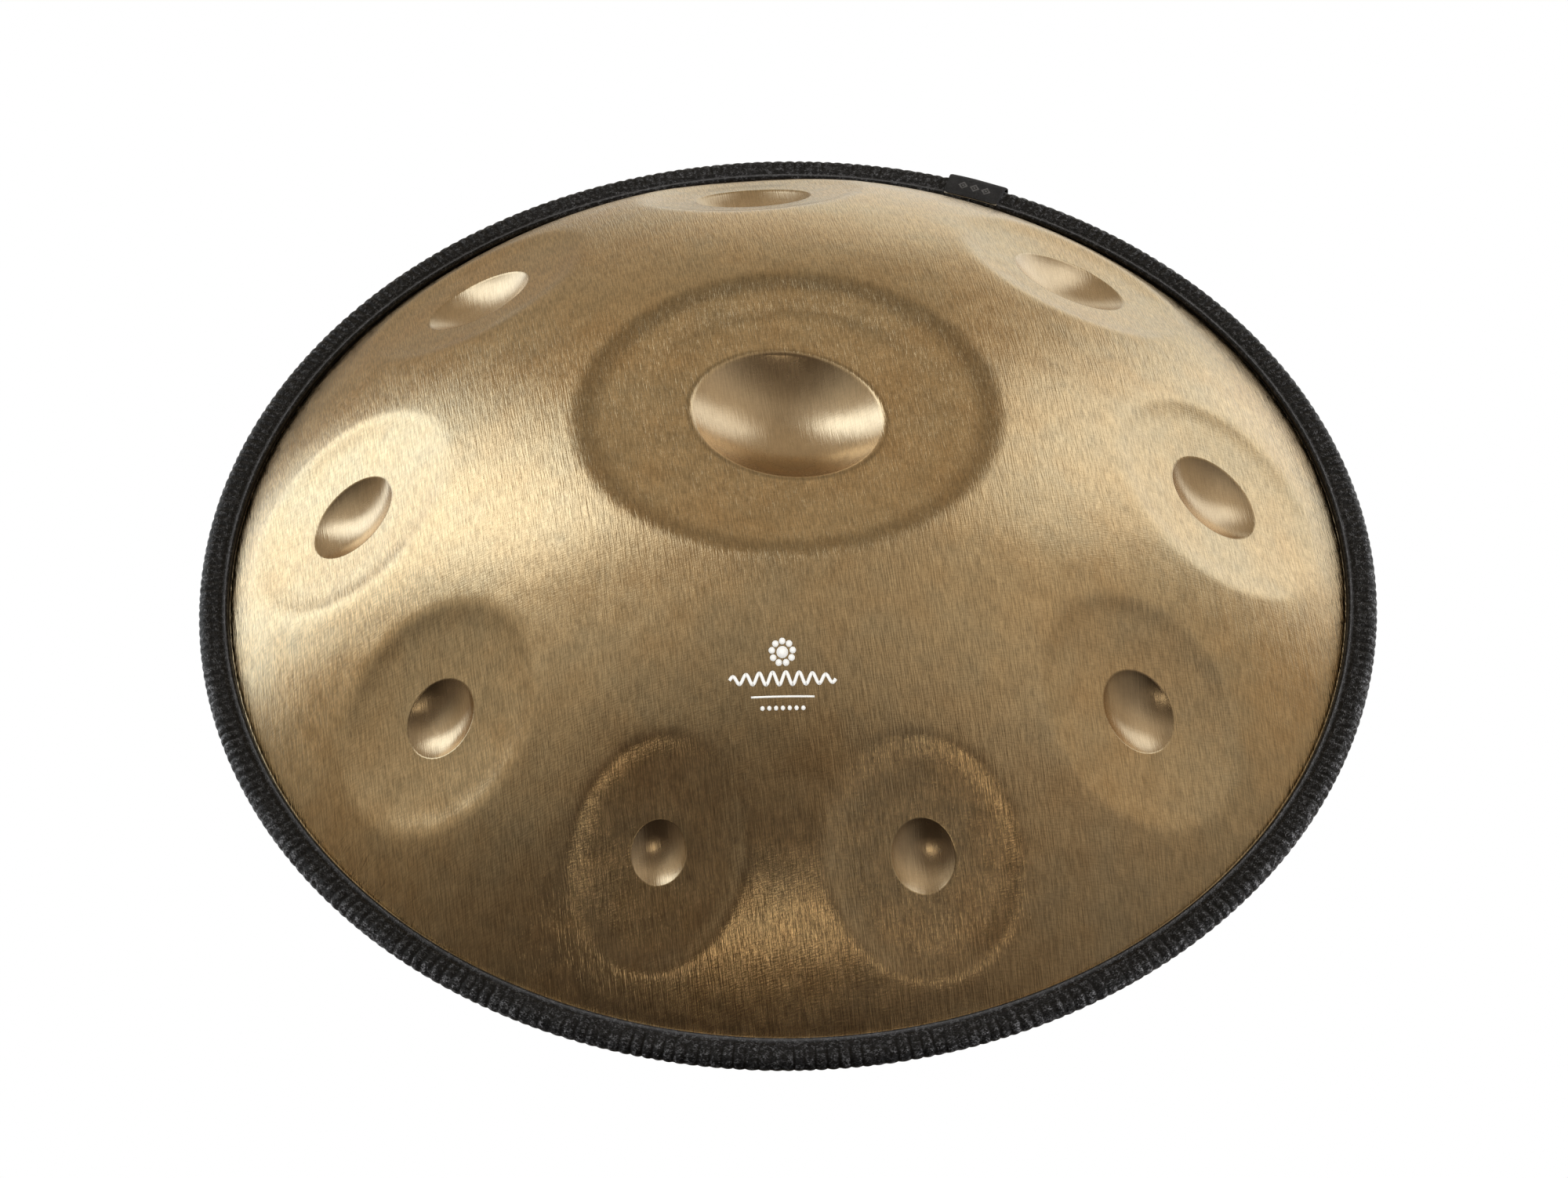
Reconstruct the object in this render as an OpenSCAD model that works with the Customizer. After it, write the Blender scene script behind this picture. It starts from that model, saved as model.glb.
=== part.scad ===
// Handpan: two sheet steel bowls bonded at the rim. The upper bowl carries the
// centre note and nine tone fields, the lower bowl carries the sound port, and a
// soft edge trim with a steel core covers the joined flanges.
// The origin is the point under the port's lip on which the drum rests.

/* [Bowls] */
// Outer radius of curvature of both bowls
shell_r = 334; // [325:1:345]
// Radius at which a bowl turns into its flange
rim_r = 265; // [262:0.5:265.2]
// Thickness of the steel sheet
wall = 1.2; // [0.9:0.1:1.4]
// Outer radius of the flanges
flange_r = 276.8; // [275:0.1:276.9]
// Thickness of the adhesive between the flanges
bond_t = 0.3; // [0.1:0.1:0.4]

/* [Centre note] */
// Height of the centre note's flat above the rim plane
crown_h = 118; // [114:0.5:122]
// Length of the bowl in the centre note
ding_l = 93.5; // [80:0.5:100]
// Width of the bowl in the centre note
ding_w = 77.5; // [65:0.5:85]
// Depth of the bowl in the centre note
ding_depth = 18; // [12:1:22]
// Direction of the bowl's long axis, in degrees from +X
ding_turn = -21; // [-45:1:45]

/* [Tone fields] */
// Direction of each tone field from the axis, in degrees from +X
field_dir = [0, 45, 94, 138.5, 181, 218.5, 254, 286, 321.5]; // [0:0.5:360]
// Distance of each field's middle from the axis
field_at = [201.5, 197.5, 206, 200, 204.5, 203, 209.5, 211.5, 203.5]; // [195:0.5:213]
// Width of each field round the drum
field_w = [105, 116, 112, 112, 104, 93, 78, 88, 93]; // [70:1:120]
// Length of each field down the bowl
field_l = [120, 124, 126, 124, 120, 112, 106, 110, 116]; // [95:1:128]
// How far each field's floor is pressed in below its outline
field_sink = 2.6; // [1:0.1:4]
// Radius of the floor over the radius of the outline
field_floor = 0.8; // [0.7:0.01:0.95]
// Slope of the wall between a field's floor and its outline, in degrees
field_slope = 9.5; // [6:0.5:15]
// Width of the dimple in each field
dimple_w = [44, 56, 58, 52, 42.5, 33, 25, 29, 35]; // [20:0.5:65]
// Length of a dimple over its width
dimple_long = 1.18; // [1:0.01:1.3]
// Depth of a dimple over its width
dimple_deep = 0.18; // [0.1:0.01:0.22]

/* [Sound port] */
// Inner radius of the port's neck
port_r = 48; // [40:1:55]
// Outer radius of the rolled lip
lip_r = 7; // [4:0.5:10]
// Height of the neck above the middle of the lip
neck_h = 16; // [8:1:25]

/* [Edge trim] */
// Outer radius of the trim
trim_r = 280; // [279.5:0.1:281]
// Thickness of the trim
trim_t = 9.2; // [8.8:0.1:10]
// Radius of the trim's inner edge
trim_in = 265.8; // [265.6:0.1:266.5]
// Clearance between the trim and the flanges
trim_clear = 0.05; // [0.02:0.01:0.1]
// Thickness of the steel strip in the trim
core_t = 0.6; // [0.4:0.1:0.8]
// Number of slots in the steel strip
core_slots = 112; // [40:4:140]
// Gap between the two ends of the trim, in degrees
butt_gap = 0.12; // [0.05:0.01:0.3]

/* [Label tag] */
// Direction of the tag's middle, in degrees from +X
tag_dir = 69; // [60:0.5:80]
// Width of the tag round the drum
tag_w = 30; // [20:1:35]
// Thickness of the woven tape
tag_t = 0.9; // [0.6:0.1:1.2]
// Thickness of the adhesive under the tag
tag_glue_t = 0.2; // [0.1:0.1:0.3]
// Slack in the fold round the trim's outer edge
tag_slack = 1.6; // [1:0.1:2.5]

/* [Hidden] */
$fn = 120;
fields = len(field_dir);
core_in_r = shell_r - wall;
// Height of each bowl's centre of curvature from the rim plane
centre_drop = sqrt(shell_r * shell_r - rim_r * rim_r) - wall - bond_t / 2;
// The lip is a rolled edge that touches the bowl's sphere from inside
lip_at = port_r + lip_r;
lip_drop = sqrt((shell_r - lip_r) * (shell_r - lip_r) - lip_at * lip_at) - centre_drop;
rim_z = lip_drop + lip_r;
lip_angle = asin(lip_at / (shell_r - lip_r));
rim_angle = asin(rim_r / shell_r);
arc_step = 2.5;
cut_h = 60;
cut_rim = 4;
// Height of the sloping part of a field's cut
field_rise = 4;
// The trim's outer edge is a half round, and its slot holds the flanges
nose_r = trim_t / 2;
nose_at = trim_r - nose_r;
slot_half = wall + bond_t / 2 + trim_clear;
slot_end = flange_r + 0.2;
core_r = (slot_half + nose_r + core_t) / 2;
core_in = trim_in + 1.4;
core_slot_w = 1.2;
core_slot_in = 3;
bond_in = rim_r + 1.5;
tag_in = trim_in + 0.6;
tag_end = trim_in + 8;
tag_angle = 2 * asin(tag_w / 2 / trim_r);
spare = 1;

// Radius of the round flat that a field of this width and length makes
function flat_r(w, l) = sqrt(w * l) / 2;
// Distance of a field's plane from the bowl's centre of curvature
function flat_dist(i) = sqrt(pow(shell_r, 2) - pow(flat_r(field_w[i], field_l[i]), 2));
// Tilt of a field's plane from level
function flat_tilt(i) = asin(field_at[i] / flat_dist(i));
// Points of a circular arc in the radius-height plane, from angle a to angle b
function arc(cx, cz, r, a, b, n) =
    [for (k = [0:n]) let (t = a + (b - a) * k / n) [cx + r * cos(t), cz + r * sin(t)]];

// Moves its children to the upper bowl's centre of curvature
module at_upper_centre() {
    translate([0, 0, rim_z - centre_drop]) children();
}

// Moves its children to the middle of a field: Z along its normal, X down the bowl
module on_field(i, inset) {
    rotate([0, flat_tilt(i), field_dir[i]])
        translate([0, 0, flat_dist(i) - inset]) children();
}

// What presses the bowl in at a field: a flat floor and a shallow sloping wall
module field_cut(i, inset) {
    floor_r = field_floor * flat_r(field_w[i], field_l[i]);
    top_r = floor_r + field_rise / tan(field_slope);
    on_field(i, inset + field_sink) rotate_extrude()
        polygon([[0, 0], [floor_r, 0], [top_r, field_rise], [top_r, cut_h], [0, cut_h]]);
}

// An oval bowl of the given width, length over width, and depth, sunk below Z = 0
module oval_bowl(width, long, depth, grow) {
    ball_r = (width * width / 4 + depth * depth) / (2 * depth);
    translate([0, 0, ball_r - depth])
        scale([long, 1, 1]) sphere(r = ball_r + grow);
}

// Everything that is pressed into the bowl, for a surface that lies inset inside it
module pressed_shapes(inset) {
    crown_dist = crown_h + centre_drop;
    for (i = [0:fields - 1]) {
        field_cut(i, inset);
        on_field(i, field_sink)
            oval_bowl(dimple_w[i], dimple_long, dimple_w[i] * dimple_deep, inset);
    }
    translate([0, 0, crown_dist - inset])
        cylinder(r = sqrt(pow(shell_r, 2) - pow(crown_dist, 2)) + cut_rim, h = cut_h);
    translate([0, 0, crown_dist]) rotate([0, 0, ding_turn])
        oval_bowl(ding_w, ding_l / ding_w, ding_depth, inset);
}

// The upper bowl's inner space, which is also open through the flange
module upper_hollow() {
    difference() {
        at_upper_centre() sphere(r = core_in_r);
        at_upper_centre() pressed_shapes(wall);
    }
}

module upper_shell() {
    color("darkgoldenrod") difference() {
        union() {
            difference() {
                at_upper_centre() sphere(r = shell_r);
                translate([-shell_r, -shell_r, rim_z + bond_t / 2 - 3 * shell_r])
                    cube([2 * shell_r, 2 * shell_r, 3 * shell_r]);
                at_upper_centre() pressed_shapes(0);
            }
            translate([0, 0, rim_z + bond_t / 2]) cylinder(r = flange_r, h = wall);
        }
        upper_hollow();
    }
}

// The lower bowl is one outline turned about the axis: flange, bowl, lip and neck
module lower_shell() {
    bowl_n = round((rim_angle - lip_angle) / arc_step);
    flange_top = rim_z - bond_t / 2;
    bowl_z = rim_z + centre_drop;
    lip_n = 12;
    inner_rim = acos((bowl_z - flange_top) / core_in_r) - 90;
    color("darkgoldenrod") rotate_extrude() polygon(concat(
        [[flange_r, flange_top], [flange_r, flange_top - wall]],
        arc(0, bowl_z, shell_r, rim_angle - 90, lip_angle - 90, bowl_n),
        arc(lip_at, lip_r, lip_r, lip_angle - 90, -180, lip_n),
        [[port_r, lip_r + neck_h], [port_r + wall, lip_r + neck_h]],
        arc(lip_at, lip_r, lip_r - wall, -180, lip_angle - 90, lip_n),
        arc(0, bowl_z, core_in_r, lip_angle - 90, inner_rim, bowl_n)
    ));
}

module bond_ring() {
    color("dimgray") translate([0, 0, rim_z - bond_t / 2]) difference() {
        cylinder(r = flange_r, h = bond_t);
        translate([0, 0, -spare]) cylinder(r = bond_in, h = bond_t + 2 * spare);
    }
}

// A channel in the radius-height plane, open towards the axis: a half ring and two arms
module channel_profile(in, r_out, r_in) {
    difference() {
        union() {
            translate([nose_at, 0]) circle(r = r_out);
            translate([in, -r_out]) square([nose_at - in, 2 * r_out]);
        }
        translate([nose_at, 0]) circle(r = r_in);
        translate([in - spare, -r_in]) square([nose_at - in + spare, 2 * r_in]);
    }
}

// The sector between the trim's two ends, which the tag hides
module butt_cut() {
    gap = 2 * trim_r * tan(butt_gap / 2);
    rotate([0, 0, tag_dir]) translate([trim_in - 10, -gap / 2, -trim_t])
        cube([30, gap, 2 * trim_t]);
}

module rim_trim() {
    color([0.09, 0.09, 0.1]) translate([0, 0, rim_z]) difference() {
        rotate_extrude() difference() {
            union() {
                translate([nose_at, 0]) circle(r = nose_r);
                translate([trim_in, -nose_r]) square([nose_at - trim_in, trim_t]);
            }
            translate([trim_in - spare, -slot_half])
                square([slot_end - trim_in + spare, 2 * slot_half]);
            channel_profile(core_in, core_r, core_r - core_t);
        }
        butt_cut();
    }
}

module trim_core() {
    color("silver") translate([0, 0, rim_z]) difference() {
        rotate_extrude() channel_profile(core_in, core_r, core_r - core_t);
        butt_cut();
        for (i = [0:core_slots - 1])
            rotate([0, 0, tag_dir + (i + 0.5) * 360 / core_slots])
                translate([core_in - spare, -core_slot_w / 2, -trim_t])
                    cube([nose_at - core_in + spare - core_slot_in, core_slot_w, 2 * trim_t]);
    }
}

// Keeps the part of its children that lies in the tag's sector
module tag_sector(width) {
    rotate([0, 0, tag_dir]) intersection() {
        children();
        translate([trim_in - 10, -width / 2, -2 * trim_t])
            cube([40, width, 4 * trim_t]);
    }
}

// The tape folded round the trim, with a loose fold at the outer edge
module tape_profile(r_arm, t, slack, end_in) {
    difference() {
        union() {
            translate([nose_at + slack, 0]) circle(r = r_arm + t);
            translate([end_in, -r_arm - t]) square([nose_at + slack - end_in, 2 * (r_arm + t)]);
        }
        translate([nose_at + slack, 0]) circle(r = r_arm);
        translate([end_in - spare, -r_arm])
            square([nose_at + slack - end_in + spare, 2 * r_arm]);
    }
}

module label_tag() {
    color([0.03, 0.03, 0.03]) translate([0, 0, rim_z]) tag_sector(tag_w)
        rotate_extrude() tape_profile(nose_r + tag_glue_t, tag_t, tag_slack, tag_in);
}

module tag_adhesive() {
    color("gainsboro") translate([0, 0, rim_z]) tag_sector(tag_w - 2)
        rotate_extrude() for (side = [0, 1]) mirror([0, side])
            translate([tag_in, nose_r]) square([tag_end - tag_in, tag_glue_t]);
}

upper_shell();
lower_shell();
bond_ring();
rim_trim();
trim_core();
label_tag();
tag_adhesive();
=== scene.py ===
"""Looks of a handpan: two brushed steel bowls, a ribbed edge trim, a folded
tape label and a small print, in a pale studio with a fixed camera.

Sizes are in millimetres and angles in degrees, unless a name says otherwise;
meshes are written in metres. Heights are measured from the rim plane, which is
halfway up the edge trim.
"""

from __future__ import annotations

import logging
from math import acos, asin, atan2, cos, degrees, pi, radians, sin, sqrt
from dataclasses import dataclass, field
from enum import Enum

import bpy
import numpy as np
from mathutils import Matrix, Vector

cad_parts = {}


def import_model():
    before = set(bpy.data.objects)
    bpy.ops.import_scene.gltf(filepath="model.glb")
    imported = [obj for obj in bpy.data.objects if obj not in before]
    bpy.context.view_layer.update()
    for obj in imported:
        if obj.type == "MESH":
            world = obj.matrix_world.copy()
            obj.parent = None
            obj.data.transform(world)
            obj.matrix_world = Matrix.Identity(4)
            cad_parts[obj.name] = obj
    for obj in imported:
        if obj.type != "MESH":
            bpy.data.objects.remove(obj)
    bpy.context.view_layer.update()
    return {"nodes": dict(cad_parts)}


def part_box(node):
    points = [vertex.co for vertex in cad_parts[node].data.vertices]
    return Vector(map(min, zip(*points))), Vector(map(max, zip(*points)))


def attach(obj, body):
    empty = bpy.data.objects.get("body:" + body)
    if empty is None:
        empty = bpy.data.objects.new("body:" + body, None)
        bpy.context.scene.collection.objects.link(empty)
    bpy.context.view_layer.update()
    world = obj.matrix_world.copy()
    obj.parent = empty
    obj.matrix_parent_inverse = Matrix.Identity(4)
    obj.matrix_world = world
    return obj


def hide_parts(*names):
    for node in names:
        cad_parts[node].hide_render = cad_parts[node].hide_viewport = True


LOG = logging.getLogger("handpan")
MM = 0.001
Array = np.ndarray
Thing = bpy.types.Object
Material = bpy.types.Material
Node = bpy.types.Node
Tree = bpy.types.NodeTree
Socket = bpy.types.NodeSocket
Outputs = bpy.types.NodeOutputs


# Formulas


def soft_positive(x: Array, reach: float) -> Array:
    """Zero below -reach and x above +reach, joined by a parabola.

    Args:
        x: Any values.
        reach: Half the width of the joining parabola.

    Returns:
        The smoothed positive part of x.
    """
    return np.where(x > reach, x, np.clip(x + reach, 0, None) ** 2 / (4 * reach))


def smooth_step(x: Array, low: float, high: float) -> Array:
    """Rises from 0 at low to 1 at high as 3t^2 - 2t^3.

    Args:
        x: Any values.
        low: Where the rise starts.
        high: Where the rise ends; it may be less than low for a fall.

    Returns:
        Values from 0 to 1.
    """
    t = np.clip((x - low) / (high - low), 0, 1)
    return t * t * (3 - 2 * t)


def oval_radius(angle: Array, half_u: float, half_v: float, turn: float = 0.0) -> Array:
    """Polar radius of an ellipse: 1 / sqrt((cos/half_u)^2 + (sin/half_v)^2).

    Args:
        angle: Directions in radians.
        half_u: Half axis along the ellipse's own first axis.
        half_v: Half axis across it.
        turn: Direction of the first axis, in degrees.

    Returns:
        The radius in each direction.
    """
    a = angle - radians(turn)
    return 1 / np.hypot(np.cos(a) / half_u, np.sin(a) / half_v)


def arc(centre: tuple[float, float], radius: float, start: float, end: float, steps: int) -> Array:
    """Points centre + radius (cos a, sin a) for a from start to end.

    Args:
        centre: Centre in the radius-height plane.
        radius: Radius of the arc.
        start: First angle in degrees.
        end: Last angle in degrees.
        steps: Number of equal steps.

    Returns:
        An array of steps + 1 points.
    """
    a = np.radians(np.linspace(start, end, steps + 1))
    return np.stack([centre[0] + radius * np.cos(a), centre[1] + radius * np.sin(a)], -1)


def hammered(x: Array, y: Array) -> Array:
    """Slow unevenness left by hammering: a sum of plane sine waves
    amplitude * sin(k . (x, y) + phase) with lengths of 30 to 95 mm.

    Args:
        x: First horizontal coordinate.
        y: Second horizontal coordinate.

    Returns:
        Height differences of about a tenth of a millimetre.
    """
    draw = np.random.default_rng(41)
    total = np.zeros_like(x)
    for _ in range(18):
        length = draw.uniform(30, 95)
        heading, phase = draw.uniform(0, 2 * pi, 2)
        k = 2 * pi / length
        wave = np.sin(k * (x * cos(heading) + y * sin(heading)) + phase)
        total += 0.00048 * length * wave
    return total


# Mesh making


class Patchwork:
    """Collects points and the faces between them, and makes one mesh."""

    def __init__(self) -> None:
        """Starts with no points."""
        self._points: list[Array] = []
        self._faces: list[Array] = []
        self._uvs: list[Array] = []
        self._count = 0

    def add(self, points: Array, uv: Array | None = None) -> Array:
        """Adds points of shape (..., 3) and returns their numbers.

        Args:
            points: Places in millimetres.
            uv: Surface coordinates of shape (..., 2), or none.

        Returns:
            Numbers of the points, in the same arrangement.
        """
        shape = points.shape[:-1]
        size = int(np.prod(shape))
        self._points.append(points.reshape(-1, 3))
        flat = np.zeros((size, 2)) if uv is None else np.broadcast_to(uv, shape + (2,))
        self._uvs.append(flat.reshape(-1, 2))
        numbers = np.arange(self._count, self._count + size).reshape(shape)
        self._count += size
        return numbers

    def face(self, *corners: Array) -> None:
        """Adds one face for each place in the equally shaped corner arrays."""
        self._faces.append(np.stack([c.ravel() for c in corners], -1))

    def grid(self, rows: Array, closed: bool = False, flip: bool = False) -> None:
        """Adds the four-cornered faces of a grid of point numbers.

        Args:
            rows: Point numbers, one row after another.
            closed: Whether the last column joins the first.
            flip: Whether the faces turn the other way.
        """
        if closed:
            rows = np.concatenate([rows, rows[:, :1]], 1)
        a, b, c, d = rows[:-1, :-1], rows[:-1, 1:], rows[1:, 1:], rows[1:, :-1]
        self.face(*((d, c, b, a) if flip else (a, b, c, d)))

    def fan(self, hub: Array, ring: Array, flip: bool = False) -> None:
        """Adds three-cornered faces from one point to a closed ring."""
        after = np.roll(ring, -1)
        hubs = np.broadcast_to(hub, ring.shape)
        self.face(*((hubs, after, ring) if flip else (hubs, ring, after)))

    def build(self, name: str) -> Thing:
        """Makes the mesh, smooth shaded, in metres.

        Args:
            name: Name of the new object.

        Returns:
            The object, linked to the scene.
        """
        points = np.concatenate(self._points) * MM
        uvs = np.concatenate(self._uvs)
        corners = np.concatenate([f.ravel() for f in self._faces])
        totals = np.concatenate([np.full(len(f), f.shape[1]) for f in self._faces])
        mesh = bpy.data.meshes.new(name)
        mesh.vertices.add(len(points))
        mesh.vertices.foreach_set("co", points.ravel())
        mesh.loops.add(len(corners))
        mesh.loops.foreach_set("vertex_index", corners)
        mesh.polygons.add(len(totals))
        mesh.polygons.foreach_set("loop_start", np.cumsum(totals) - totals)
        mesh.polygons.foreach_set("loop_total", totals)
        layer = mesh.uv_layers.new(name="surface")
        layer.data.foreach_set("uv", uvs[corners].ravel())
        mesh.update(calc_edges=True)
        mesh.validate()
        mesh.polygons.foreach_set("use_smooth", np.ones(len(mesh.polygons), bool))
        thing = bpy.data.objects.new(name, mesh)
        bpy.context.scene.collection.objects.link(thing)
        return thing


def write_values(thing: Thing, **layers: Array) -> None:
    """Writes one value for each point, from 0 to 1, under each name."""
    for name, values in layers.items():
        layer = thing.data.attributes.new(name, "FLOAT", "POINT")
        layer.data.foreach_set("value", np.clip(values, 0, 1).ravel().astype(np.float32))


def turned(r: Array, z: Array, angles: Array) -> Array:
    """Points (r cos a, r sin a, z) about the axis, for arrays that fit."""
    return np.stack([r * np.cos(angles), r * np.sin(angles), z + 0 * angles], -1)


def run_along(line: Array) -> Array:
    """Length of a line of points up to each of them."""
    return np.concatenate([[0], np.cumsum(np.hypot(*np.diff(line, axis=0).T))])


# Shader making


class Wiring:
    """Short ways to place and join nodes in one node tree."""

    def __init__(self, tree: Tree) -> None:
        """Works in one tree."""
        self.tree = tree

    def node(self, kind: str, settings: dict | None = None, **inputs: object) -> Node:
        """Places a node, and sets or joins its inputs.

        Args:
            kind: Type name of the node.
            settings: Attributes of the node.
            inputs: Values or sockets, by input name with _ for spaces, or iN
                for the input with number N.

        Returns:
            The node.
        """
        made = self.tree.nodes.new(kind)
        for key, value in (settings or {}).items():
            setattr(made, key, value)
        for key, value in inputs.items():
            by_number = key[0] == "i" and key[1:].isdigit()
            self.put(value, made.inputs[int(key[1:]) if by_number else key.replace("_", " ")])
        return made

    def put(self, value: object, socket: Socket) -> None:
        """Joins a socket to an input, or sets the input to a plain value.

        Args:
            value: A socket or a plain value.
            socket: The input.
        """
        if isinstance(value, Socket):
            self.tree.links.new(value, socket)
        elif hasattr(value, "__len__") and len(value) == 3 and socket.type == "RGBA":
            socket.default_value = (*value, 1.0)
        else:
            socket.default_value = value

    def math(self, operation: str, *values: object) -> Socket:
        """One Math node: its operation on up to three values."""
        inputs = {f"i{n}": v for n, v in enumerate(values)}
        return self.node("ShaderNodeMath", {"operation": operation}, **inputs).outputs[0]

    def vector(self, operation: str, first: object, **inputs: object) -> Socket:
        """One Vector Math node on a first value and the named others."""
        made = self.node("ShaderNodeVectorMath", {"operation": operation}, i0=first, **inputs)
        return made.outputs[0]

    def times(self, first: object, *others: object) -> Socket:
        """The product of all values, from the left."""
        for other in others:
            first = self.math("MULTIPLY", first, other)
        return first

    def plus(self, first: object, *others: object) -> Socket:
        """The sum of all values, from the left."""
        for other in others:
            first = self.math("ADD", first, other)
        return first

    def less(self, first: object, other: object) -> Socket:
        """The first value less the other."""
        return self.math("SUBTRACT", first, other)

    def over(self, first: object, other: object) -> Socket:
        """The first value divided by the other."""
        return self.math("DIVIDE", first, other)

    def parts(self, place: Socket) -> Outputs:
        """The three coordinates of a place."""
        return self.node("ShaderNodeSeparateXYZ", Vector=place).outputs

    def spot(self, **coordinates: object) -> Socket:
        """A place with the given coordinates."""
        return self.node("ShaderNodeCombineXYZ", **coordinates).outputs[0]

    def level_radius(self, x: Socket, y: Socket) -> Socket:
        """Distance from the vertical axis: sqrt(x^2 + y^2)."""
        return self.math("SQRT", self.plus(self.times(x, x), self.times(y, y)))

    def attribute(self, name: str) -> Socket:
        """A mesh attribute's value."""
        return self.node("ShaderNodeAttribute", {"attribute_name": name}).outputs["Fac"]

    def bump(self, height: Socket, distance: float, strength: float, shader: Node) -> None:
        """Joins a height, scaled by a distance in metres, to a shader's normal."""
        made = self.node("ShaderNodeBump", Strength=strength, Distance=distance, Height=height)
        self.finish(shader, Normal=made.outputs[0])

    def ramp(self, value: object, low: float, high: float, to: tuple = (0.0, 1.0)) -> Socket:
        """Smooth rise of a value between low and high, onto the two ends of to.

        Args:
            value: What rises.
            low: Where the rise starts.
            high: Where it ends.
            to: Results at both ends.

        Returns:
            The result.
        """
        made = self.node("ShaderNodeMapRange", {"interpolation_type": "SMOOTHSTEP"}, Value=value)
        self.finish(made, From_Min=low, From_Max=high, To_Min=to[0], To_Max=to[1])
        return made.outputs["Result"]

    def mix(self, share: object, a: object, b: object, blend: str = "MIX") -> Socket:
        """Mixes two colours."""
        settings = {"data_type": "RGBA", "blend_type": blend}
        return self.node("ShaderNodeMix", settings, i0=share, i6=a, i7=b).outputs[2]

    def noise(self, place: Socket, scale: float, detail: float = 2.0, flat: bool = False) -> Socket:
        """Noise value at a place."""
        settings = {"noise_dimensions": "2D" if flat else "3D"}
        made = self.node("ShaderNodeTexNoise", settings, Vector=place, Scale=scale, Detail=detail)
        return made.outputs["Fac"]

    def group(self, tree: Tree, **inputs: object) -> Node:
        """Places a node group with its own values."""
        return self.node("ShaderNodeGroup", {"node_tree": tree}, **inputs)

    def finish(self, shader: Node, **inputs: object) -> None:
        """Sets or joins a shader's inputs, by name with _ for spaces."""
        for name, value in inputs.items():
            self.put(value, shader.inputs[name.replace("_", " ")])


def new_group(
    name: str, inputs: dict[str, float], outputs: tuple[str, ...]
) -> tuple[Wiring, Outputs, Node]:
    """Starts a shader node group with a Place vector and some numbers.

    Args:
        name: Name of the group.
        inputs: First value of each number, by name.
        outputs: Names of the numbers that it puts out.

    Returns:
        The group's wiring, its given sockets and its output node.
    """
    tree = bpy.data.node_groups.new(name, "ShaderNodeTree")
    tree.interface.new_socket(name="Place", in_out="INPUT", socket_type="NodeSocketVector")
    for way, names in (("INPUT", inputs), ("OUTPUT", outputs)):
        for label in names:
            socket = tree.interface.new_socket(
                name=label, in_out=way, socket_type="NodeSocketFloat"
            )
            if way == "INPUT":
                socket.default_value = inputs[label]
    wiring = Wiring(tree)
    return wiring, wiring.node("NodeGroupInput").outputs, wiring.node("NodeGroupOutput")


def brushed_group() -> Tree:
    """Short streaks that lie along one level direction.

    The place is turned about the vertical so that the streaks run along its
    second axis, and stretched by the streak's width and length; the group puts
    out a fine noise of single streaks and a wider noise of streak bundles.

    Returns:
        The group.
    """
    first_values = {"Turn": 0.0, "Width": 0.0004, "Length": 0.004}
    w, given, out = new_group("brushed_streaks", first_values, ("Fine", "Bundles"))
    turn = w.spot(Z=given["Turn"])
    level = w.node(
        "ShaderNodeVectorRotate",
        {"rotation_type": "EULER_XYZ"},
        Vector=given["Place"],
        Rotation=turn,
    )
    x, y, _ = w.parts(level.outputs[0])
    place = w.spot(X=w.over(x, given["Width"]), Y=w.over(y, given["Length"]))
    fine, bundles = w.noise(place, 1.0, 2.5, True), w.noise(place, 0.27, 1.5, True)
    w.finish(out, Fine=fine, Bundles=bundles)
    return w.tree


def clouds_group() -> Tree:
    """Soft irregular patches: noise at two scales, mixed and spread to 0..1.

    Returns:
        The group.
    """
    w, given, out = new_group("soft_clouds", {"Size": 0.03}, ("Value",))
    scaled = w.vector("SCALE", given["Place"], Scale=w.over(1.0, given["Size"]))
    wide, close = w.noise(scaled, 1.0), w.noise(scaled, 3.7)
    both = w.plus(w.times(wide, 0.7), w.times(close, 0.3))
    w.finish(out, Value=w.ramp(both, 0.34, 0.66))
    return w.tree


class Groups:
    """The shader groups that several finishes share, each made once."""

    def __init__(self) -> None:
        """Makes both groups."""
        self.brushed = brushed_group()
        self.clouds = clouds_group()

    def cloud(self, w: Wiring, place: Socket, size: float) -> Socket:
        """Soft patches of a size in metres."""
        return w.group(self.clouds, Place=place, Size=size).outputs["Value"]


def new_material(name: str) -> tuple[Material, Wiring, Node]:
    """Starts a node material.

    Args:
        name: Name of the material.

    Returns:
        The material, its wiring and its Principled shader.
    """
    material = bpy.data.materials.new(name)
    material.use_nodes = True
    wiring = Wiring(material.node_tree)
    return material, wiring, material.node_tree.nodes["Principled BSDF"]


# Finishes


class Slot(Enum):
    """Material slots of the record that the new pieces take."""

    STEEL = "gold_steel"
    TRIM = "trim_vinyl"
    CLOTH = "tag_cloth"
    FILM = "tag_film"


@dataclass(frozen=True)
class Finish:
    """What every finish is: a named material that its own method paints."""

    name: str

    def make(self, groups: Groups) -> Material:
        """Makes the material.

        Args:
            groups: The shared shader groups.

        Returns:
            The material.
        """
        material, wiring, shader = new_material(self.name)
        spots = wiring.node("ShaderNodeTexCoord").outputs
        self.paint(wiring, shader, groups, spots)
        return material

    def paint(self, w: Wiring, shader: Node, groups: Groups, spots: Outputs) -> None:
        """Joins the nodes of the finish to its shader.

        Args:
            w: The material's wiring.
            shader: Its shader.
            groups: The shared shader groups.
            spots: The places that a surface has.
        """
        raise NotImplementedError


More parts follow.
